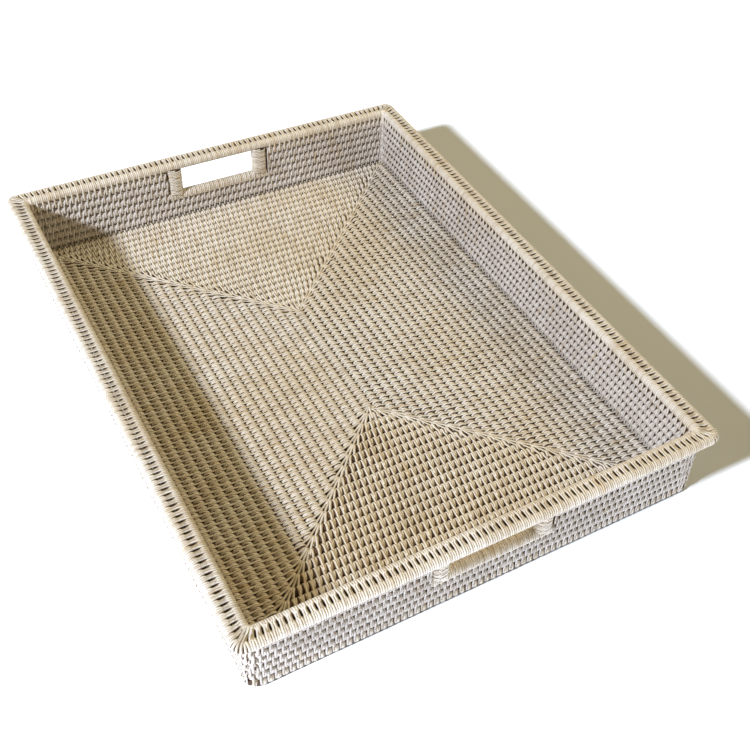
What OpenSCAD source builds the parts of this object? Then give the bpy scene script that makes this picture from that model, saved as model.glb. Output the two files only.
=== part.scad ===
// Rectangular serving tray of coiled cane with a hand hole in each end.
// Every round is its own bent cane rod, bound with split peel. The rounds of the
// floor lie flat inside each other, the wall rounds are stacked on the outermost
// one, and two rim rods lie side by side on top.
// Frame: +X towards the near end, +Y to the right, +Z up. The origin is the centre
// of the face that the tray rests on.

/* [Tray] */
// Pitch from the middle of one round to the middle of the next
coil_pitch = 9.5; // [9:0.1:10.5]
// Half length of the spine rod that the floor is coiled around
spine_half = 76; // [60:1:110]
// Rounds in the floor, counting the one under the wall
floor_rounds = 22; // [18:1:24]
// Radius of every corner bend, to the middle of the rod
bend_r = 6; // [5.5:0.1:8]

/* [Cane] */
// Diameter of the bare cane rods
core_d = 8; // [7.5:0.1:8.2]
// Gap between the wrapped rounds
round_gap = 0.1; // [0.1:0.05:0.3]
// Gap between a rod and the peel around it
peel_gap = 0.05; // [0.05:0.01:0.1]
// Height of the rod centres in the floor, which sets the width of the flat that it rests on
floor_z = 4.5; // [4.45:0.01:4.6]

/* [Handles] */
// Width of the hand hole
hand_hole_w = 82; // [76:1:110]
// Width along the wall of the bound jamb on each side of the hand hole
jamb_w = 16.4; // [15:0.1:18]
// Thickness of the bound jamb
jamb_d = 12.6; // [11.5:0.1:13.5]
// Radius of the thick binding on the sill
sill_r = 5.4; // [5:0.1:5.8]

/* [Hidden] */
$fn = 48;
wall_rows = 6;
sill_row = 3;
parting = 0.3;
wrap_r = (coil_pitch - round_gap) / 2;
wrap_in_r = core_d / 2 + peel_gap;
wall_hx = spine_half + floor_rounds * coil_pitch;
wall_hy = floor_rounds * coil_pitch;
rim_z = row_z(wall_rows + 1);
// the sill's binding is thicker on top, so that it stays clear of the row below
sill_lift = sill_r - wrap_r;
sill_z = row_z(sill_row);
jamb_y = (hand_hole_w + jamb_w) / 2;
rod_end = jamb_y + jamb_w / 2 + 0.3;
jamb_lap = 2;
cane_tan = [0.62, 0.52, 0.38];
peel_white = [0.87, 0.84, 0.77];
peel_grey = [0.78, 0.74, 0.70];
peel_cream = [0.90, 0.87, 0.79];

ENDS = [["near", 1], ["far", -1]];
SIDES = [["left", -1], ["right", 1]];
JAMBS = [for (e = ENDS, s = SIDES) [str(e[0], "_", s[0]), e[1], s[1]]];

function two_digits(k) = k < 10 ? str("0", k) : str(k);
// height of a row's rod centre: 0 is the floor, 1 the first row of the wall
function row_z(row) = floor_z + row * coil_pitch;

// ---- sections ----

module core_section() {
    circle(d = core_d);
}

// peel around a rod; below cut_z it is pressed flat
module wrap_section(cut_z = 2 * coil_pitch) {
    difference() {
        circle(r = wrap_r);
        circle(r = wrap_in_r);
        translate([-coil_pitch, -coil_pitch - cut_z]) square([2 * coil_pitch, coil_pitch]);
    }
}

// oblong section of a jamb: a circle spread along Y
module jamb_section(radius) {
    spread = (jamb_w - jamb_d) / 2;
    for (way = [-1, 1]) translate([0, way * spread]) circle(r = radius);
    square([2 * radius, 2 * spread], center = true);
}

module sill_section() {
    difference() {
        translate([0, sill_lift]) circle(r = sill_r);
        circle(r = wrap_in_r);
    }
}

// ---- runs of a section, with the section's own Y turned up ----

module run_x(length) {
    rotate([90, 0, 90]) linear_extrude(length, center = true) children();
}

module run_y(length) {
    rotate([90, 0, 0]) linear_extrude(length, center = true) children();
}

// corner 0 is +X +Y, and the others follow anticlockwise
module corner(hx, hy, number) {
    x_sign = number == 0 || number == 3 ? 1 : -1;
    y_sign = number < 2 ? 1 : -1;
    translate([x_sign * (hx - bend_r), y_sign * (hy - bend_r), 0])
        rotate(90 * number)
            rotate_extrude(angle = 90) translate([bend_r, 0]) children();
}

module long_side(hx, hy, side) {
    translate([0, side * hy, 0]) run_x(2 * (hx - bend_r)) children();
}

module short_side(hx, hy, end) {
    translate([end * hx, 0, 0]) run_y(2 * (hy - bend_r)) children();
}

// long side with its two corner bends
module side_with_corners(hx, hy, side) {
    long_side(hx, hy, side) children();
    for (number = side > 0 ? [0, 1] : [2, 3]) corner(hx, hy, number) children();
}

module closed_round(hx, hy) {
    for (side = [-1, 1]) side_with_corners(hx, hy, side) children();
    for (end = [-1, 1]) short_side(hx, hy, end) children();
}

// piece of a short side from the jamb to the corner bend
module end_stub(end, side) {
    stub = wall_hy - bend_r - rod_end;
    translate([end * wall_hx, side * (rod_end + stub / 2), 0]) run_y(stub) children();
}

module floor_level(round_number) {
    translate([0, 0, floor_z])
        closed_round(spine_half + round_number * coil_pitch, round_number * coil_pitch)
            children();
}

// peel around one floor round, parted where its strand starts and ends
module floor_wrap(round_number) {
    difference() {
        floor_level(round_number) wrap_section(floor_z);
        translate([0, -round_number * coil_pitch, floor_z])
            cube([parting, coil_pitch, 2 * coil_pitch], center = true);
    }
}

// ---- rods ----

module floor_spine() {
    color(cane_tan)
        translate([0, 0, floor_z]) run_x(2 * spine_half + core_d) core_section();
}

module floor_round(round_number) {
    color(cane_tan) floor_level(round_number) core_section();
}

module base_round() {
    color(cane_tan) floor_level(floor_rounds) core_section();
}

// rows above the sill are two rods, because the hand holes part them
module wall_rod_row(row) {
    color(cane_tan) translate([0, 0, row_z(row)])
        if (row <= sill_row) {
            closed_round(wall_hx, wall_hy) core_section();
        } else {
            for (side = [-1, 1]) {
                side_with_corners(wall_hx, wall_hy, side) core_section();
                for (end = [-1, 1]) end_stub(end, side) core_section();
            }
        }
}

module rim_rod_inner() {
    color(cane_tan) translate([0, 0, rim_z]) closed_round(wall_hx, wall_hy) core_section();
}

module rim_rod_outer() {
    color(cane_tan) translate([0, 0, rim_z])
        closed_round(wall_hx + coil_pitch, wall_hy + coil_pitch) core_section();
}

// ---- bindings of the floor and the wall ----

module floor_binding() {
    color(peel_white) {
        translate([0, 0, floor_z]) run_x(2 * spine_half + core_d) wrap_section(floor_z);
        for (k = [1:floor_rounds - 1]) floor_wrap(k);
    }
}

module base_binding() {
    color(peel_white) floor_wrap(floor_rounds);
}

module side_binding(side) {
    color(peel_grey)
        for (row = [1:wall_rows])
            translate([0, 0, row_z(row)]) side_with_corners(wall_hx, wall_hy, side) wrap_section();
}

module end_binding_lower(end) {
    color(peel_grey)
        for (row = [1:sill_row - 1])
            translate([0, 0, row_z(row)]) short_side(wall_hx, wall_hy, end) wrap_section();
}

module end_binding_upper(end, side) {
    color(peel_grey)
        for (row = [sill_row:wall_rows])
            translate([0, 0, row_z(row)]) end_stub(end, side) wrap_section();
}

// ---- hand holes ----

module sill_binding(end) {
    color(peel_cream)
        translate([end * wall_hx, 0, sill_z]) run_y(2 * rod_end) sill_section();
}

// the jamb stands on the sill and under the rim, and is saddled over both
module between_sill_and_rim(end) {
    difference() {
        children();
        translate([end * wall_hx, 0, sill_z + sill_lift])
            run_y(3 * rod_end) circle(r = sill_r + peel_gap);
        translate([end * wall_hx, 0, rim_z]) run_y(3 * rod_end) circle(r = wrap_r + peel_gap);
    }
}

module jamb_post(end, side) {
    color(cane_tan)
        between_sill_and_rim(end)
            translate([end * wall_hx, side * jamb_y, sill_z + sill_lift])
                linear_extrude(rim_z - sill_z - sill_lift) jamb_section(core_d / 2);
}

module jamb_binding(end, side) {
    bottom = sill_z + sill_lift + jamb_lap;
    color(peel_cream)
        between_sill_and_rim(end)
            translate([end * wall_hx, side * jamb_y, bottom])
                linear_extrude(rim_z - jamb_lap - bottom)
                    difference() {
                        jamb_section(jamb_d / 2);
                        jamb_section(wrap_in_r);
                    }
}

// ---- rim binding ----

module rim_binding_side(side) {
    color(peel_cream) translate([0, 0, rim_z])
        for (out = [0, coil_pitch])
            side_with_corners(wall_hx + out, wall_hy + out, side) wrap_section();
}

module rim_binding_end(end) {
    color(peel_cream) translate([0, 0, rim_z])
        for (out = [0, coil_pitch])
            short_side(wall_hx + out, wall_hy + out, end) wrap_section();
}

// ---- what is drawn ----

floor_spine();
for (k = [1:floor_rounds - 1])
    floor_round(k);
base_round();
for (j = [1:wall_rows])
    wall_rod_row(j);
rim_rod_inner();
rim_rod_outer();
floor_binding();
base_binding();
for (s = SIDES)
    side_binding(s[1]);
for (e = ENDS)
    end_binding_lower(e[1]);
for (j = JAMBS)
    end_binding_upper(j[1], j[2]);
for (e = ENDS)
    sill_binding(e[1]);
for (j = JAMBS)
    jamb_post(j[1], j[2]);
for (j = JAMBS)
    jamb_binding(j[1], j[2]);
for (s = SIDES)
    rim_binding_side(s[1]);
for (e = ENDS)
    rim_binding_end(e[1]);
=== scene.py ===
"""Whitewashed serving tray of coiled cane: the split peel that binds its rods.

Each round of cane is wound with one strand of split peel. A short turn holds the
round itself, and a long turn also takes in the round before it. The strands are
laid out round by round from the rods of the frame, and a node tree gives them
their section. The bare rods of the frame stay, and show in the gaps.
"""
import math

import bpy
import numpy as np
from mathutils import Matrix, Vector


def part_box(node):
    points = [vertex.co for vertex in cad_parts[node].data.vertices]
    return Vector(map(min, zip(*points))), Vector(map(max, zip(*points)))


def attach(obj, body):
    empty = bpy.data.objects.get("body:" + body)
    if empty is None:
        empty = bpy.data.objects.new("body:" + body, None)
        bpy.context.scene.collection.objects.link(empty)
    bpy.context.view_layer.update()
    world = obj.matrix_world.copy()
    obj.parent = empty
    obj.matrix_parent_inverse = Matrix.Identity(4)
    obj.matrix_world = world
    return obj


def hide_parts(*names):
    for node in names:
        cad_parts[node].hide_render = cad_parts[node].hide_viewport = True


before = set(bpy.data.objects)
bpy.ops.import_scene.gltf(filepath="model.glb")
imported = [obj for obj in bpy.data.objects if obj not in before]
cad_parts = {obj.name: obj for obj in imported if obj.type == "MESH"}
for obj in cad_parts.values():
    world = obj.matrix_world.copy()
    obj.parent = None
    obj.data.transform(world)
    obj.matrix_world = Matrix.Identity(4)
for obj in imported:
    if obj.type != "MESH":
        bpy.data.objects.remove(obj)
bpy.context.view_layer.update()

MM = 0.001
STITCH_PITCH = 6.0 * MM  # from one hole to the next along a round
FLOOR_SHIFT = 2.4 * MM  # how far the holes move on from one floor round to the next
WALL_SHIFT = 3.7 * MM  # the same for the rows of the wall
BEND = 6.0 * MM  # corner bend of every round, to the middle of the rod
PEEL_WIDTH = 2.25 * MM
PEEL_THICK = 0.7 * MM
CROWN_SHARE = 0.56  # width of the peel's crown, as a share of the peel's
WIDTH_SPREAD = 0.09  # how much wider or narrower one strand is than another
WANDER, PLUMP = 0.13 * MM, 0.05 * MM  # unevenness of the turns, along the rod and off it
FLOOR_ROUNDS = 22
WALL_ROWS = 6
SILL_ROW = 3

FAN_SOFT = 0.6  # how softly the fan of stitches at a corner ends, as a share of its lag
FAN_FADE = 5.0 * MM  # how near a corner the stitches are drawn in to meet it exactly

rng = np.random.default_rng(41)
UP = np.array([0.0, 0.0, 1.0])


# ---------------------------------------------------------------- the rods

def rod_radius():
    low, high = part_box("floor_spine")
    return (high.z - low.z) / 2


CANE_R = rod_radius()
PEEL_R = CANE_R + PEEL_THICK / 2

# clockwise seen from above: right side, near end, left side, far end
WAYS = np.array([[1, 0], [0, -1], [-1, 0], [0, 1]], float)
OUTS = np.array([[0, 1], [1, 0], [0, -1], [-1, 0]], float)


class Round:
    """Centre line of one closed round of cane, run clockwise from the middle of its right side."""

    def __init__(self, node):
        low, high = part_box(node)
        self.half_x, self.half_y = high.x - CANE_R, high.y - CANE_R
        self.z = (low.z + high.z) / 2
        flat_x, flat_y = self.half_x - BEND, self.half_y - BEND
        self.sides = np.array([2 * flat_x, 2 * flat_y] * 2)
        self.arc = BEND * math.pi / 2
        lengths = np.stack([self.sides, np.full(4, self.arc)], 1).ravel()
        self.bounds = np.concatenate([[0.0], np.cumsum(lengths)])
        self.total = self.bounds[-1]
        self.first = -flat_x
        self.mids = self.first + self.bounds[:-1:2] + self.sides / 2
        self.apex = self.mids + self.sides / 2 + self.arc / 2
        self.corner = np.array([[1, 1], [1, -1], [-1, -1], [-1, 1]]) * [flat_x, flat_y]
        self.start = np.roll(self.corner, 1, axis=0) + BEND * OUTS

    def at(self, s):
        """Point on the centre line, the way along and the way out, at each distance s."""
        s = (np.asarray(s, float) - self.first) % self.total
        k = np.minimum(np.searchsorted(self.bounds, s, side="right") - 1, 7)
        d = s - self.bounds[k]
        j, bent = k // 2, (k % 2 == 1)[:, None]
        turn = np.where(k % 2 == 1, d / BEND, 0.0)[:, None]
        out = np.cos(turn) * OUTS[j] + np.sin(turn) * WAYS[j]
        way = np.cos(turn) * WAYS[j] - np.sin(turn) * OUTS[j]
        flat = self.start[j] + d[:, None] * WAYS[j]
        place = np.where(bent, self.corner[j] + BEND * out, flat)
        return level(place, self.z), level(way, 0.0), level(out, 0.0)

    def caught_at(self, inner, s):
        """Point, way along and way out on the next round in, where stitches at s catch it."""
        t = (np.asarray(s)[:, None] - self.apex + self.total / 2) % self.total - self.total / 2
        near = np.abs(t).argmin(1)
        t = np.take_along_axis(t, near[:, None], 1)[:, 0]
        lag = (self.total - inner.total) / 8
        soft = FAN_SOFT * lag
        reach = np.abs(t) - lag
        caught = (reach + np.sqrt(reach ** 2 + soft ** 2)) / 2
        least = (math.sqrt(lag ** 2 + soft ** 2) - lag) / 2
        caught -= least * np.exp(-np.abs(t) / FAN_FADE)
        return inner.at(inner.apex[near] + np.sign(t) * caught)


class Spine:
    """The straight rod in the middle, which the first round is stitched to."""

    def __init__(self, node):
        low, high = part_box(node)
        self.z = (low.z + high.z) / 2
        self.half = high.x - CANE_R

    def caught_from(self, outer, s):
        place, _, out = outer.at(s)
        centre = np.stack([np.clip(place[:, 0], -self.half, self.half), 0 * place[:, 0],
                           np.full(len(place), self.z)], 1)
        out = place - centre
        out[:, 2] = 0
        out /= np.linalg.norm(out, axis=1, keepdims=True)
        way = np.stack([out[:, 1], -out[:, 0], 0 * out[:, 0]], 1)
        return centre, way, out


def level(flat, z):
    return np.concatenate([flat, np.full((len(flat), 1), z)], 1)


def stitch_places(path, shift, clear, corner_pitch=STITCH_PITCH):
    """Distance of each hole on one closed round. Along a side they keep the panel's
    spacing, and within clear of a corner they are spread evenly, corner_pitch apart."""
    fixed = []
    for mid, side in zip(path.mids, path.sides):
        reach = side / 2 + path.arc / 2 - clear
        first = math.ceil((-reach - shift) / STITCH_PITCH)
        last = math.floor((reach - shift) / STITCH_PITCH)
        if last >= first:
            fixed.append(mid + shift + STITCH_PITCH * np.arange(first, last + 1))
    places = []
    for number, run in enumerate(fixed):
        after = fixed[(number + 1) % len(fixed)][0]
        gap = (after - run[-1]) % path.total
        count = max(1, round(gap / corner_pitch))
        places += list(run) + list(run[-1] + gap * np.arange(1, count) / count)
    return np.array(places)


# ---------------------------------------------------------------- strands

class Strand:
    """One long strand of peel as a line of points, each with the way it faces."""

    def __init__(self):
        self.points, self.faces, self.stitch = [], [], []

    def add(self, centre, up, out, angle, radius, number):
        """Points around a rod: angle 0 is out to the next round, 90 is up to the face side."""
        turn = math.radians(angle)
        away = math.cos(turn) * out + math.sin(turn) * up + 0 * centre
        self.points.append(centre + radius[:, None] * away)
        self.faces.append(away)
        self.stitch.append(number)

    def line(self):
        """The points in the order that the strand runs: stitch by stitch."""
        return np.stack(self.points, 1), np.stack(self.faces, 1), np.stack(self.stitch, 1)


# turn angle and lift in mm on the stitch's own rod, and on the rod it also takes in
SHORT_TURN = [(-62, 0), (-22, 0), (15, -0.1), (50, 0), (85, 0), (120, 0), (155, 0), (190, 0),
              (226, 0), (262, 0)]
LONG_OWN = [(-62, 0.1), (-22, 0.15), (15, 0.25), (50, 0.3), (84, 0.22), (116, 0.1)]
LONG_CAUGHT = [(60, 0.2), (88, 0.35), (122, 0.28), (155, 0.1)]
DIP_FROM, DIP_OVER = -22, 40  # a turn dips from the first angle down, in full over the second
FRONT_ENDS, TURN_ENDS = 180, 298  # where a short turn goes behind its rod, and where it ends
CAUGHT_FROM, CAUGHT_OVER = 60, 95  # first angle on the caught rod's face, and how far it goes on


class Lean:
    """Where the turns of a stitch lie across its pitch, as shares of it. Each turn starts at
    the outer edge of its own rod, where it is bunched with the other, and ends at the inner
    edge: sharp says how close to the outer edge they bunch. The long turn leans on over the
    caught rod by trail, and back_caught and back_own say where it comes round behind the two
    rods, as pairs of turn angle and share. A backward strand runs against the way of the
    round, long turn first. dip is how far a turn starts before its outer edge."""

    def __init__(self, short, long, sharp, trail, back_caught, back_own, backward, dip):
        self.short, self.long = short, long
        self.sharp, self.trail = sharp, trail
        self.back_caught, self.back_own = back_caught, back_own
        self.backward, self.dip = backward, dip

    def share(self, ends, angle):
        outer, inner = ends
        bunched = ((1 + math.cos(math.radians(max(angle, 0)))) / 2) ** self.sharp
        return inner + (outer - inner) * bunched - self.dip * max(0, DIP_FROM - angle) / DIP_OVER


# short and long give a turn's place at the outer and at the inner edge of its rod
FLOOR_LEAN = Lean(short=(0.53, 0.04), long=(0.66, 0.40), sharp=1.2, trail=0.03,
                  back_caught=[(190, 0.36), (228, 0.37), (264, 0.37), (300, 0.50)],
                  back_own=[(240, 0.62), (268, 1.05)], backward=False, dip=0.2)
WALL_LEAN = Lean(short=(0.38, -0.13), long=(0.68, 0.17), sharp=1.25, trail=0.07,
                 back_caught=[(190, 0.15), (228, 0.25), (264, 0.35), (300, 0.38)],
                 back_own=[(240, 0.39), (268, 0.38)], backward=True, dip=0)


def wind(path, places, caught, upright, lean, reach=None):
    """One strand wound along the rod at the given places, with a short and a long turn at each.
    reach is the first and last distance of a rod that isn't closed."""
    step = STITCH_PITCH
    places = places[::-1] if lean.backward else places
    after_short = lean.long[0] - 1 if lean.backward else lean.long[0]
    number = np.arange(len(places))
    wander = rng.normal(0, WANDER, (2, len(places)))
    plump = rng.normal(0, PLUMP, (2, len(places)))
    strand = Strand()

    def held(s):
        return s if reach is None else np.clip(s, *reach)

    def add(spot, angle, radius, turn):
        centre, _, out = spot
        face, edge = (-out, UP[None, :]) if upright else (UP[None, :], out)
        strand.add(centre, face, edge, angle, radius, number * 2 + turn)

    def short_turn():
        radius = PEEL_R + plump[0]
        for angle, lift in SHORT_TURN:
            share = lean.share(lean.short, angle)
            if angle > FRONT_ENDS:
                gone = (angle - FRONT_ENDS) / (TURN_ENDS - FRONT_ENDS)
                share = lean.short[1] + (after_short - lean.short[1]) * gone
            s = held(places + share * step + wander[0])
            add(path.at(s), angle, radius + lift * MM, 0)

    def long_turn():
        radius = PEEL_R + plump[1]
        for angle, lift in LONG_OWN:
            s = held(places + lean.share(lean.long, angle) * step + wander[1])
            add(path.at(s), angle, radius + lift * MM, 1)
        for angle, lift in LONG_CAUGHT:
            share = lean.long[1] - lean.trail * (angle - CAUGHT_FROM) / CAUGHT_OVER
            s = held(places + share * step + wander[1])
            add(caught(s), angle, radius + lift * MM, 1)
        for angle, share in lean.back_caught:
            add(caught(held(places + share * step)), angle, PEEL_R + 0 * places, 1)
        for angle, share in lean.back_own:
            add(path.at(held(places + share * step)), angle, PEEL_R + 0 * places, 1)

    for turn in (long_turn, short_turn) if lean.backward else (short_turn, long_turn):
        turn()
    return strand


def laid_flat(points):
    """The tray rests on its peel, which is pressed flat there."""
    points = points.copy()
    points[..., 2] = np.maximum(points[..., 2], PEEL_THICK / 2)
    return points


# ---------------------------------------------------------------- node tree

def node(tree, kind, **settings):
    made = tree.nodes.new(kind)
    for name, value in settings.items():
        setattr(made, name, value)
    return made


def sums(tree, operation, first, second):
    made = node(tree, "ShaderNodeMath", operation=operation)
    for number, value in enumerate((first, second)):
        if hasattr(value, "default_value"):
            tree.links.new(value, made.inputs[number])
        else:
            made.inputs[number].default_value = value
    return made.outputs[0]


def peel_tree():
    """Lines of points in, strands of split peel out: flat below, crowned above."""
    tree = bpy.data.node_groups.new("peel_strands", "GeometryNodeTree")
    face = tree.interface
    face.new_socket("Geometry", in_out="INPUT", socket_type="NodeSocketGeometry")
    face.new_socket("Geometry", in_out="OUTPUT", socket_type="NodeSocketGeometry")
    for name, kind, value in (("Peel width", "Float", PEEL_WIDTH),
                              ("Peel thickness", "Float", PEEL_THICK),
                              ("Width spread", "Float", WIDTH_SPREAD), ("Seed", "Int", 5)):
        made = face.new_socket(name, in_out="INPUT", socket_type="NodeSocket" + kind)
        made.default_value = value
    face.new_socket("Finish", in_out="INPUT", socket_type="NodeSocketMaterial")
    link = tree.links.new
    given = node(tree, "NodeGroupInput")

    line = node(tree, "GeometryNodeMeshToCurve")
    link(given.outputs["Geometry"], line.inputs["Mesh"])
    away = node(tree, "GeometryNodeInputNamedAttribute", data_type="FLOAT_VECTOR")
    away.inputs["Name"].default_value = "away"
    turned = node(tree, "GeometryNodeSetCurveNormal", mode="FREE")
    link(line.outputs["Curve"], turned.inputs["Curve"])
    link(away.outputs["Attribute"], turned.inputs["Normal"])

    stitch = node(tree, "GeometryNodeInputNamedAttribute", data_type="INT")
    stitch.inputs["Name"].default_value = "stitch"
    tone = node(tree, "FunctionNodeRandomValue", data_type="FLOAT")
    link(stitch.outputs["Attribute"], tone.inputs["ID"])
    link(given.outputs["Seed"], tone.inputs["Seed"])
    toned = node(tree, "GeometryNodeStoreNamedAttribute", data_type="FLOAT", domain="POINT")
    toned.inputs["Name"].default_value = "tone"
    link(turned.outputs["Curve"], toned.inputs["Geometry"])
    link(tone.outputs[1], toned.inputs["Value"])

    crown = sums(tree, "MULTIPLY", given.outputs["Peel width"], CROWN_SHARE)
    section = node(tree, "GeometryNodeCurvePrimitiveQuadrilateral", mode="TRAPEZOID")
    link(given.outputs["Peel thickness"], section.inputs["Height"])
    link(given.outputs["Peel width"], section.inputs["Bottom Width"])
    link(crown, section.inputs["Top Width"])
    section.inputs["Offset"].default_value = 0
    spot = node(tree, "GeometryNodeInputPosition")
    apart = node(tree, "ShaderNodeSeparateXYZ")
    link(spot.outputs[0], apart.inputs[0])
    across = sums(tree, "DIVIDE", apart.outputs["X"], given.outputs["Peel width"])
    sided = node(tree, "GeometryNodeStoreNamedAttribute", data_type="FLOAT", domain="POINT")
    sided.inputs["Name"].default_value = "across"
    link(section.outputs["Curve"], sided.inputs["Geometry"])
    link(across, sided.inputs["Value"])
    placed = node(tree, "GeometryNodeTransform")
    placed.inputs["Rotation"].default_value = (0, 0, math.pi / 2)
    link(sided.outputs["Geometry"], placed.inputs["Geometry"])

    scale = node(tree, "FunctionNodeRandomValue", data_type="FLOAT")
    link(sums(tree, "SUBTRACT", 1, given.outputs["Width spread"]), scale.inputs[2])
    link(sums(tree, "ADD", 1, given.outputs["Width spread"]), scale.inputs[3])
    link(stitch.outputs["Attribute"], scale.inputs["ID"])
    other = node(tree, "FunctionNodeIntegerMath", operation="ADD")
    link(given.outputs["Seed"], other.inputs[0])
    other.inputs[1].default_value = 100
    link(other.outputs[0], scale.inputs["Seed"])

    swept = node(tree, "GeometryNodeCurveToMesh")
    link(toned.outputs["Geometry"], swept.inputs["Curve"])
    link(placed.outputs["Geometry"], swept.inputs["Profile Curve"])
    link(scale.outputs[1], swept.inputs["Scale"])
    swept.inputs["Fill Caps"].default_value = True
    smooth = node(tree, "GeometryNodeSetShadeSmooth")
    link(swept.outputs["Mesh"], smooth.inputs["Geometry"])
    real = node(tree, "GeometryNodeRealizeInstances")
    link(smooth.outputs["Geometry"], real.inputs["Geometry"])
    finish = node(tree, "GeometryNodeSetMaterial")
    link(real.outputs["Geometry"], finish.inputs["Geometry"])
    link(given.outputs["Finish"], finish.inputs["Material"])
    result = node(tree, "NodeGroupOutput")
    link(finish.outputs["Geometry"], result.inputs["Geometry"])
    return tree


PEEL_TREE = peel_tree()


class Binding:
    """Gathers the strands of one piece, then makes it."""

    def __init__(self):
        self.points, self.away, self.stitch, self.along = [], [], [], []
        self.edges = []
        self.count = 0
        self.stitches = 0

    def add(self, points, away, stitch, closed):
        """points and away are rows of points in order; closed joins the last to the first."""
        n = len(points)
        first = np.arange(n if closed else n - 1)
        self.edges.append(np.stack([first, (first + 1) % n], 1) + self.count)
        steps = np.linalg.norm(np.diff(points, axis=0), axis=1)
        self.along.append(np.concatenate([[0], np.cumsum(steps)]))
        self.points.append(points)
        self.away.append(away)
        self.stitch.append(stitch + self.stitches)
        self.stitches += int(stitch.max()) + 1
        self.count += n

    def add_strand(self, strand, closed, flat=False):
        points, away, stitch = strand.line()
        if flat:
            points = laid_flat(points)
        self.add(points.reshape(-1, 3), away.reshape(-1, 3), stitch.reshape(-1), closed)

    def make(self, name, material, seed, nodes):
        """Peel swept along the gathered lines, riding on the tray in place of the nodes."""
        mesh = bpy.data.meshes.new(name)
        points, edges = np.concatenate(self.points), np.concatenate(self.edges)
        mesh.vertices.add(len(points))
        mesh.vertices.foreach_set("co", points.ravel())
        mesh.edges.add(len(edges))
        mesh.edges.foreach_set("vertices", edges.ravel().astype(np.int32))
        for label, kind, field, rows in (("away", "FLOAT_VECTOR", "vector", self.away),
                                         ("stitch", "INT", "value", self.stitch),
                                         ("along", "FLOAT", "value", self.along)):
            data = mesh.attributes.new(label, kind, "POINT")
            data.data.foreach_set(field, np.concatenate(rows).ravel().astype(
                np.int32 if kind == "INT" else np.float32))
        mesh.update()
        lines = bpy.data.objects.new(name + "_lines", mesh)
        bpy.context.scene.collection.objects.link(lines)
        modifier = lines.modifiers.new("peel", "NODES")
        modifier.node_group = PEEL_TREE
        values = {"Peel width": PEEL_WIDTH, "Peel thickness": PEEL_THICK, "Seed": seed,
                  "Finish": material}
        for item in PEEL_TREE.interface.items_tree:
            if item.item_type == "SOCKET" and item.in_out == "INPUT" and item.name in values:
                modifier[item.identifier] = values[item.name]
        bpy.context.view_layer.update()
        shaped = lines.evaluated_get(bpy.context.evaluated_depsgraph_get())
        made = bpy.data.objects.new(name, bpy.data.meshes.new_from_object(shaped))
        made.data.name = name
        bpy.context.scene.collection.objects.link(made)
        bpy.data.objects.remove(lines)
        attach(made, "root")
        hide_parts(*nodes)


# ---------------------------------------------------------------- materials

def linear(red, green, blue):
    """Colour given in 0 to 255 as it looks on a screen, made linear for the shader."""
    def one(value):
        value /= 255
        return value / 12.92 if value <= 0.04045 else ((value + 0.055) / 1.055) ** 2.4
    return one(red), one(green), one(blue), 1.0


def shader_group(name, inputs, outputs):
    """An empty group of nodes that takes and gives numbers."""
    group = bpy.data.node_groups.new(name, "ShaderNodeTree")
    for label, value in inputs:
        socket = group.interface.new_socket(label, in_out="INPUT", socket_type="NodeSocketFloat")
        socket.default_value = value
    for label in outputs:
        group.interface.new_socket(label, in_out="OUTPUT", socket_type="NodeSocketFloat")
    return group, node(group, "NodeGroupInput"), node(group, "NodeGroupOutput")


def ramp(tree, low, high, source, low_value=0.0, high_value=1.0):
    made = node(tree, "ShaderNodeMapRange", interpolation_type="SMOOTHSTEP")
    tree.links.new(source, made.inputs["Value"])
    made.inputs["From Min"].default_value = low
    made.inputs["From Max"].default_value = high
    made.inputs["To Min"].default_value = low_value
    made.inputs["To Max"].default_value = high_value
    return made.outputs["Result"]


def mixed(tree, share, first, second):
    made = node(tree, "ShaderNodeMix", data_type="RGBA")
    for number, value in ((0, share), (6, first), (7, second)):
        socket = made.inputs[number]
        if hasattr(value, "default_value"):
            tree.links.new(value, socket)
        else:
            socket.default_value = value
    return made.outputs[2]


def attribute(tree, name):
    return node(tree, "ShaderNodeAttribute", attribute_name=name)


def noise_at(tree, spot, scale, detail):
    made = node(tree, "ShaderNodeTexNoise")
    tree.links.new(spot, made.inputs["Vector"])
    made.inputs["Scale"].default_value = scale
    made.inputs["Detail"].default_value = detail
    return made


def fine_bump(tree, shader, height, strength, distance):
    made = node(tree, "ShaderNodeBump")
    made.inputs["Strength"].default_value = strength
    made.inputs["Distance"].default_value = distance
    tree.links.new(height, made.inputs["Height"])
    tree.links.new(made.outputs["Normal"], shader.inputs["Normal"])


def peel_grain_group():
    """Fibre and Streak are fine and coarse grain along the strand. Tone differs from strand to
    strand, from -1 to 1, and Edge is 1 along the strand's two edges, where painted shade goes."""
    group, _, result = shader_group("peel_grain", [], ["Fibre", "Streak", "Tone", "Edge"])
    link = group.links.new
    along, across, tone = (attribute(group, n).outputs["Fac"] for n in ("along", "across", "tone"))

    def stretched_noise(per_along, per_across, per_strand, scale, detail):
        spot = node(group, "ShaderNodeCombineXYZ")
        for number, (source, factor) in enumerate(((along, per_along), (across, per_across),
                                                   (tone, per_strand))):
            link(sums(group, "MULTIPLY", source, factor), spot.inputs[number])
        return noise_at(group, spot.outputs[0], scale, detail).outputs["Fac"]

    link(stretched_noise(60.0, 9.0, 97.0, 1.6, 3), result.inputs["Fibre"])
    link(stretched_noise(110.0, 2.2, 53.0, 1.0, 2), result.inputs["Streak"])
    link(sums(group, "SUBTRACT", sums(group, "MULTIPLY", tone, 2.0), 1.0), result.inputs["Tone"])
    away = node(group, "ShaderNodeMath", operation="ABSOLUTE")
    link(across, away.inputs[0])
    link(ramp(group, 0.26, 0.5, away.outputs[0]), result.inputs["Edge"])
    return group


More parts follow.
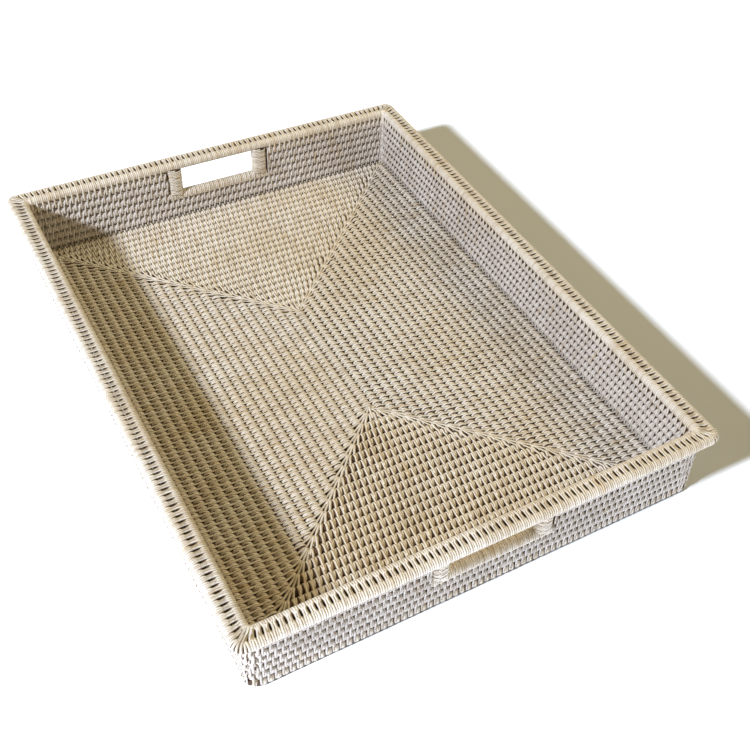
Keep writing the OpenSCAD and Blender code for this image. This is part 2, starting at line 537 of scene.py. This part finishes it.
def patch_group():
    """Broad uneven patches where the wash went on thick or thin."""
    group, given, result = shader_group("wash_patches", [("Patch size", 0.05)], ["Patch"])
    link = group.links.new
    spot = node(group, "ShaderNodeTexCoord")
    noise = noise_at(group, spot.outputs["Object"], 1, 4)
    link(sums(group, "DIVIDE", 1.0, given.outputs["Patch size"]), noise.inputs["Scale"])
    noise.inputs["Roughness"].default_value = 0.6
    link(ramp(group, 0.36, 0.66, noise.outputs["Fac"]), result.inputs["Patch"])
    return group


GRAIN = peel_grain_group()
PATCHES = patch_group()


def placed_group(tree, group, **values):
    made = node(tree, "ShaderNodeGroup", node_tree=group)
    for name, value in values.items():
        made.inputs[name.replace("_", " ")].default_value = value
    return made.outputs


def new_material(name):
    material = bpy.data.materials.new(name)
    material.use_nodes = True
    tree = material.node_tree
    shader = tree.nodes["Principled BSDF"]
    return material, tree, shader


def peel_finish(name, wash, wash_thin, cane, golden, patch_size, roughness, edge_shade):
    """Whitewashed split peel. The wash is thick on some strands and thin on others, painted
    shade darkens their edges towards cane colour, and a few strands stayed golden."""
    material, tree, shader = new_material(name)
    link = tree.links.new
    grain = placed_group(tree, GRAIN)
    patch = placed_group(tree, PATCHES, Patch_size=patch_size)["Patch"]
    thick = mixed(tree, patch, wash, wash_thin)
    worn = sums(tree, "MULTIPLY", ramp(tree, 0.52, 0.72, grain["Streak"]), 0.35)
    colour = mixed(tree, worn, thick, cane)
    thin_strand = sums(tree, "MULTIPLY", ramp(tree, 0.1, 1.0, grain["Tone"]), 0.32)
    colour = mixed(tree, thin_strand, colour, cane)
    gold = sums(tree, "MULTIPLY", ramp(tree, -0.93, -0.97, grain["Tone"]), 0.5)
    colour = mixed(tree, gold, colour, golden)
    # painted shade: each strand's edges are darkened towards cane colour, standing in for the
    # shade between strands
    edge_shaded = sums(tree, "MULTIPLY", grain["Edge"], edge_shade)
    colour = mixed(tree, edge_shaded, colour, cane)
    fine = ramp(tree, 0.3, 0.7, grain["Fibre"], 0.0, 0.14)
    colour = mixed(tree, fine, colour, cane)
    link(colour, shader.inputs["Base Color"])
    rough = ramp(tree, 0.25, 0.75, grain["Fibre"], roughness - 0.08, roughness + 0.14)
    link(rough, shader.inputs["Roughness"])
    fine_bump(tree, shader, grain["Fibre"], 0.35, 0.12 * MM)
    shader.inputs["Specular IOR Level"].default_value = 0.42
    return material


def shaded_cane_finish():
    """Bare cane that the wash never reached: brown in patches, darkened with painted shade so the
    gaps between strands read as deep holes, with darker dust.
    """
    material, tree, shader = new_material("bare_cane_shaded")
    link = tree.links.new
    patch = placed_group(tree, PATCHES, Patch_size=0.012)["Patch"]
    # painted shade: both browns are darker than lit bare cane, so the gaps between strands read as
    # deep holes
    colour = mixed(tree, patch, linear(110, 84, 56), linear(80, 58, 38))
    spot = node(tree, "ShaderNodeTexCoord")
    dust = noise_at(tree, spot.outputs["Object"], 1400, 3).outputs["Fac"]
    colour = mixed(tree, ramp(tree, 0.4, 0.7, dust, 0, 0.5), colour, linear(50, 35, 22))
    link(colour, shader.inputs["Base Color"])
    link(ramp(tree, 0.3, 0.7, dust, 0.6, 0.85), shader.inputs["Roughness"])
    fine_bump(tree, shader, dust, 0.3, 0.1 * MM)
    return material


# edge_shade is how strongly painted shade darkens the edges of each strand
FLOOR_PEEL = peel_finish("floor_peel_wash", wash=linear(248, 242, 232),
                         wash_thin=linear(238, 226, 206), cane=linear(182, 156, 118),
                         golden=linear(206, 176, 122), patch_size=0.16, roughness=0.5,
                         edge_shade=0.4)
WALL_PEEL = peel_finish("wall_peel_wash", wash=linear(240, 234, 229),
                        wash_thin=linear(225, 217, 210), cane=linear(172, 150, 124),
                        golden=linear(204, 176, 128), patch_size=0.10, roughness=0.52,
                        edge_shade=0.4)
RIM_PEEL = peel_finish("rim_peel_wash", wash=linear(252, 246, 236),
                       wash_thin=linear(240, 229, 212), cane=linear(176, 150, 114),
                       golden=linear(210, 180, 128), patch_size=0.08, roughness=0.40,
                       edge_shade=0.35)
BARE_CANE_SHADED = shaded_cane_finish()


# ---------------------------------------------------------------- floor

# rounds[k] is the floor's round k, and the last of them is the base that the wall stands on
rounds = [None] + [Round("floor_round_%02d" % k) for k in range(1, FLOOR_ROUNDS)]
rounds.append(Round("base_round"))
spine = Spine("floor_spine")
CORNER_CLEAR = 14 * MM  # within this of a corner the stitches are spread to fan around it


def floor_strand(k):
    path = rounds[k]
    places = stitch_places(path, FLOOR_SHIFT * k, CORNER_CLEAR)
    if k == 1:
        def caught(s):
            return spine.caught_from(path, s)
    else:
        def caught(s):
            return path.caught_at(rounds[k - 1], s)
    return wind(path, places, caught, False, FLOOR_LEAN)


def spine_strand():
    """Plain short turns along the spine, between the long turns of the first round."""
    pitch = STITCH_PITCH / 2
    x = np.arange(-spine.half, spine.half, pitch)
    strand = Strand()
    number = np.arange(len(x))
    first = -60
    for angle in range(first, first + 360, 36):
        s = x + (angle - first) / 360 * pitch
        centre = np.stack([s, 0 * s, np.full(len(s), spine.z)], 1)
        strand.add(centre, UP[None, :], np.array([[0, 1.0, 0]]), angle, PEEL_R + 0 * s, number)
    return strand


# first and last round of each piece, so that no piece gets too heavy
FLOOR_GROUPS = [(1, 8), (9, 12), (13, 15), (16, 18), (19, 21)]
for number, (first, last) in enumerate(FLOOR_GROUPS):
    binding = Binding()
    if first == 1:
        binding.add_strand(spine_strand(), False, flat=True)
    for k in range(first, last + 1):
        binding.add_strand(floor_strand(k), True, flat=True)
    binding.make("floor_peel_rounds_%02d_%02d" % (first, last), FLOOR_PEEL,
                 10 + number, ["floor_binding"])
binding = Binding()
binding.add_strand(floor_strand(FLOOR_ROUNDS), True, flat=True)
binding.make("base_peel", FLOOR_PEEL, 20, ["base_binding"])


# ---------------------------------------------------------------- walls

rows = [rounds[FLOOR_ROUNDS]] + [Round("wall_rod_row_%d" % j) for j in range(1, WALL_ROWS + 1)]
WALL_CLEAR = 6 * MM
WALL_CORNER_PITCH = 3.7 * MM  # closer there, because the outer face of a bend is longer
_, post_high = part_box("jamb_binding_near_right")
HOLE_EDGE = post_high.y + 0.3 * MM  # how far from the middle the rows beside a hand hole end
# how far before the two ends of such a row its first and its last stitch may be
START_EARLY, END_EARLY = 0.8 * STITCH_PITCH, 0.3 * STITCH_PITCH


def wall_shift(row):
    return FLOOR_SHIFT * FLOOR_ROUNDS + WALL_SHIFT * row


def wall_strands(row):
    """The strand of one row: one closed strand, or one on each side of the hand holes."""
    path = rows[row]
    places = stitch_places(path, wall_shift(row), WALL_CLEAR, WALL_CORNER_PITCH)

    def caught(s):
        return path.caught_at(rows[row - 1], s)

    if row <= SILL_ROW:
        return [(wind(path, places, caught, True, WALL_LEAN), True)]
    near, far = path.mids[1], path.mids[3]
    every = np.sort(np.concatenate([places - path.total, places, places + path.total]))
    strands = []
    for first, last in ((far + HOLE_EDGE - path.total, near - HOLE_EDGE),
                        (near + HOLE_EDGE, far - HOLE_EDGE)):
        here = every[(every > first - START_EARLY) & (every < last - END_EARLY)]
        reach = (first + PEEL_WIDTH / 2, last - PEEL_WIDTH / 2)
        strands.append((wind(path, here, caught, True, WALL_LEAN, reach), False))
    return strands


ENDS = ("near", "far")
JAMBS = [end + "_" + side for end in ENDS for side in ("left", "right")]
SIDE_NODES = ["side_binding_left", "side_binding_right"]
LOW_NODES = ["end_binding_lower_" + end for end in ENDS]
HIGH_NODES = ["end_binding_upper_" + jamb for jamb in JAMBS]
for number, (label, first, last, nodes) in enumerate([("low", 1, 2, SIDE_NODES + LOW_NODES),
                                                      ("middle", 3, 4, SIDE_NODES + HIGH_NODES),
                                                      ("high", 5, 6, SIDE_NODES + HIGH_NODES)]):
    binding = Binding()
    for row in range(first, last + 1):
        for strand, closed in wall_strands(row):
            binding.add_strand(strand, closed)
    binding.make("wall_peel_" + label, WALL_PEEL, 30 + number, nodes)


# ---------------------------------------------------------------- hand holes

COIL_PITCH = 2.05 * MM
COIL_WOBBLE = 0.02  # how much one turn of a coil is looser than another


def coil(start, way, length, across, up, radius, sides=12, spread=0.0):
    """A close coil of peel along way, with its turns in the plane of across and up. spread
    makes the turns oblong along up."""
    count = int(length / COIL_PITCH) * sides
    turn = np.arange(count + 1) * 2 * math.pi / sides
    drift = np.arange(count + 1) / count * length
    away = np.cos(turn)[:, None] * across + np.sin(turn)[:, None] * up
    number = np.arange(count + 1) // sides
    wobble = 1 + COIL_WOBBLE * np.sin(number * 2.4)[:, None]
    oblong = spread * np.clip(3 * np.sin(turn), -1, 1)[:, None] * up
    points = start + drift[:, None] * way + radius * wobble * away + oblong
    return points, away, number


X_WAY, Y_WAY = np.array([1.0, 0, 0]), np.array([0, 1.0, 0])
for end in ENDS:
    low, high = (Vector(c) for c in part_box("sill_binding_" + end))
    middle = (np.array(low) + np.array(high)) / 2
    radius = (high.z - low.z) / 2 - PEEL_THICK / 2
    length = high.y - low.y
    binding = Binding()
    start = middle - length / 2 * Y_WAY
    binding.add(*coil(start, Y_WAY, length, X_WAY, UP, radius), False)
    binding.make("sill_peel_" + end, RIM_PEEL, 40, ["sill_binding_" + end])
for number, jamb in enumerate(JAMBS):
    low, high = (np.array(c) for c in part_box("jamb_binding_" + jamb))
    middle = (low + high) / 2
    radius = (high[0] - low[0]) / 2 - PEEL_THICK / 2
    spread = (high[1] - low[1] - high[0] + low[0]) / 2
    binding = Binding()
    start = np.array([middle[0], middle[1], low[2] + PEEL_WIDTH / 2])
    length = high[2] - low[2] - PEEL_WIDTH
    binding.add(*coil(start, UP, length, X_WAY, Y_WAY, radius, 16, spread), False)
    binding.make("jamb_peel_" + jamb, RIM_PEEL, 50 + number,
                 ["jamb_binding_" + jamb])


# ---------------------------------------------------------------- rim

# turn angle, lift in mm and how far the turns are bunched, on each rim rod
RIM_OUTER = [(-80, 0, 0), (-40, 0, 0), (0, 0, 0), (38, 0, 0), (68, 0.05, 0.02), (94, 0.1, 0.2),
             (122, 0.1, 0.9)]
RIM_INNER = [(58, 0.1, 1), (84, 0.15, 0.12), (110, 0.05, 0), (145, 0, 0), (180, 0, 0)]
# turn angle and lift behind the inner rim rod, and around the lashed top row of the wall
RIM_BACK = [(222, 0), (262, 0)]
LASH_ROW = [(62, 0.3), (92, 0.4), (130, 0.2), (166, 0), (215, 0), (262, 0), (300, 0)]
# first angle from which a turn moves on to the next one's place, and over what angle
BACK_MOVES, LASH_MOVES = (180, 160), (166, 170)
# where the three turns of a stitch lie in the groove, and on the rods
IN_GROOVE = (0.34, 0.50, 0.66)
ON_RODS = (0.17, 0.50, 0.83)


def rim_strand():
    """Fine turns around both rim rods; every third one also takes in the top row of the wall."""
    outer, inner = Round("rim_rod_outer"), Round("rim_rod_inner")
    top = rows[WALL_ROWS]
    places = stitch_places(outer, wall_shift(WALL_ROWS + 1), CORNER_CLEAR)
    gaps = (np.roll(places, -1) - places) % outer.total
    points, stitch = [], []
    spot = outer.caught_at(inner, places)[0]
    at_end = np.abs(spot[:, 0]) > inner.half_x - CANE_R
    over_hole = at_end & (np.abs(spot[:, 1]) < HOLE_EDGE + 2 * MM)
    for number, (place, gap, free) in enumerate(zip(places, gaps, over_hole)):
        for turn in range(3):
            lash = turn == 0 and not free
            start, groove = ON_RODS[turn], IN_GROOVE[turn]
            after = ON_RODS[turn + 1] if turn < 2 else 1 + ON_RODS[0]
            plan = [(outer, angle, lift, start + (groove - start) * bunched, False)
                    for angle, lift, bunched in RIM_OUTER]
            plan += [(inner, angle, lift, start + (groove - start) * bunched, False)
                     for angle, lift, bunched in RIM_INNER]
            behind = (top, LASH_ROW, LASH_MOVES) if lash else (inner, RIM_BACK, BACK_MOVES)
            path, turns, (moves_from, moves_over) = behind
            for angle, lift in turns:
                gone = max(0, angle - moves_from) / moves_over
                plan.append((path, angle, lift, start + (after - start) * gone, lash))
            for path, angle, lift, share, upright in plan:
                points.append((path, place + share * gap, angle, lift, upright))
                stitch.append(number * 3 + turn)
    s = np.array([p[1] for p in points])
    angle = np.radians([p[2] for p in points])[:, None]
    lift = np.array([p[3] for p in points])[:, None] * MM
    on_outer = np.array([p[0] is outer for p in points])[:, None]
    upright = np.array([p[4] for p in points])[:, None]
    own, out_own = outer.at(s)[0], outer.at(s)[2]
    centre_in, _, out_in = outer.caught_at(inner, s)
    centre = np.where(on_outer, own, centre_in)
    out = np.where(on_outer, out_own, out_in)
    centre[:, 2] = np.where(upright[:, 0], top.z, centre[:, 2])
    first, second = np.where(upright, UP, out), np.where(upright, -out, UP)
    facing = np.cos(angle) * first + np.sin(angle) * second
    return centre + (PEEL_R + lift) * facing, facing, np.array(stitch)


binding = Binding()
binding.add(*rim_strand(), True)
binding.make("rim_peel", RIM_PEEL, 60,
             ["rim_binding_left", "rim_binding_right", "rim_binding_near", "rim_binding_far"])


# ---------------------------------------------------------------- bare rods

# the bare rods get bare cane darkened with painted shade
for name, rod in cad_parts.items():
    if "rod" in name or "round" in name or "spine" in name or "post" in name:
        if not rod.data.materials:
            rod.data.materials.append(BARE_CANE_SHADED)
        for used in rod.material_slots:
            used.link = "OBJECT"
            used.material = BARE_CANE_SHADED


# ---------------------------------------------------------------- floor, light and camera

def stage_floor():
    mesh = bpy.data.meshes.new("stage_floor")
    half = 6.0
    corners = [(-half, -half, 0), (half, -half, 0), (half, half, 0), (-half, half, 0)]
    mesh.from_pydata(corners, [], [(0, 1, 2, 3)])
    ground = bpy.data.objects.new("stage_floor", mesh)
    bpy.context.scene.collection.objects.link(ground)
    material, tree, shader = new_material("pale_paper")
    shader.inputs["Base Color"].default_value = (0.61, 0.64, 0.69, 1)
    shader.inputs["Roughness"].default_value = 0.9
    shader.inputs["Specular IOR Level"].default_value = 0.1
    mesh.materials.append(material)
    return ground


def area_light(name, place, size, watts, colour):
    """Round soft light that faces the middle of the tray."""
    data = bpy.data.lights.new(name, "AREA")
    data.shape, data.size = "DISK", size
    data.energy, data.color = watts, colour
    lamp = bpy.data.objects.new(name, data)
    lamp.location = place
    lamp.rotation_euler = (-Vector(place)).to_track_quat("-Z", "Y").to_euler()
    bpy.context.scene.collection.objects.link(lamp)
    return lamp


def camera_turn(azimuth, elevation, roll):
    """Camera axes as a matrix: azimuth and elevation of the way back to the camera."""
    a, e, r = (math.radians(v) for v in (azimuth, elevation, roll))
    back = Vector((math.sin(a) * math.cos(e), -math.cos(a) * math.cos(e), math.sin(e)))
    right = Vector((0, 0, 1)).cross(back).normalized()
    above = back.cross(right)
    turned_right = math.cos(r) * right + math.sin(r) * above
    turned_above = -math.sin(r) * right + math.cos(r) * above
    return Matrix((turned_right, turned_above, back)).transposed()


ground = stage_floor()
world = bpy.data.worlds.new("studio")
bpy.context.scene.world = world
world.use_nodes = True
world.node_tree.nodes["Background"].inputs["Color"].default_value = (0.73, 0.61, 0.36, 1)
world.node_tree.nodes["Background"].inputs["Strength"].default_value = 0.38
KEY_FROM = Vector((0.17, -0.74, 0.57)) * 3.1
KEY_SIZE = 0.3
area_light("key_softbox", KEY_FROM, KEY_SIZE, 93, (0.78, 0.85, 0.98))
area_light("fill_card", (-0.35, 1.3, 1.25), 0.9, 13, (1.0, 0.85, 0.53))
paper_key = area_light("paper_key", KEY_FROM, KEY_SIZE, 315, (0.84, 0.88, 0.96))
only = bpy.data.collections.new("paper_only")
only.objects.link(ground)
paper_key.light_linking.receiver_collection = only

lens = bpy.data.cameras.new("camera")
lens.sensor_width, lens.lens = 36.0, 52.22
lens.shift_x, lens.shift_y = -0.0807, -0.0016
lens.clip_start, lens.clip_end = 0.01, 50
camera = bpy.data.objects.new("camera", lens)
CAMERA_AT = (0.6942, -0.3394, 0.7457)
camera.matrix_world = Matrix.Translation(CAMERA_AT) @ camera_turn(56.416, 44.241, 4.742).to_4x4()
bpy.context.scene.collection.objects.link(camera)
bpy.context.scene.camera = camera
bpy.context.scene.view_settings.view_transform = "Standard"

bpy.context.view_layer.update()
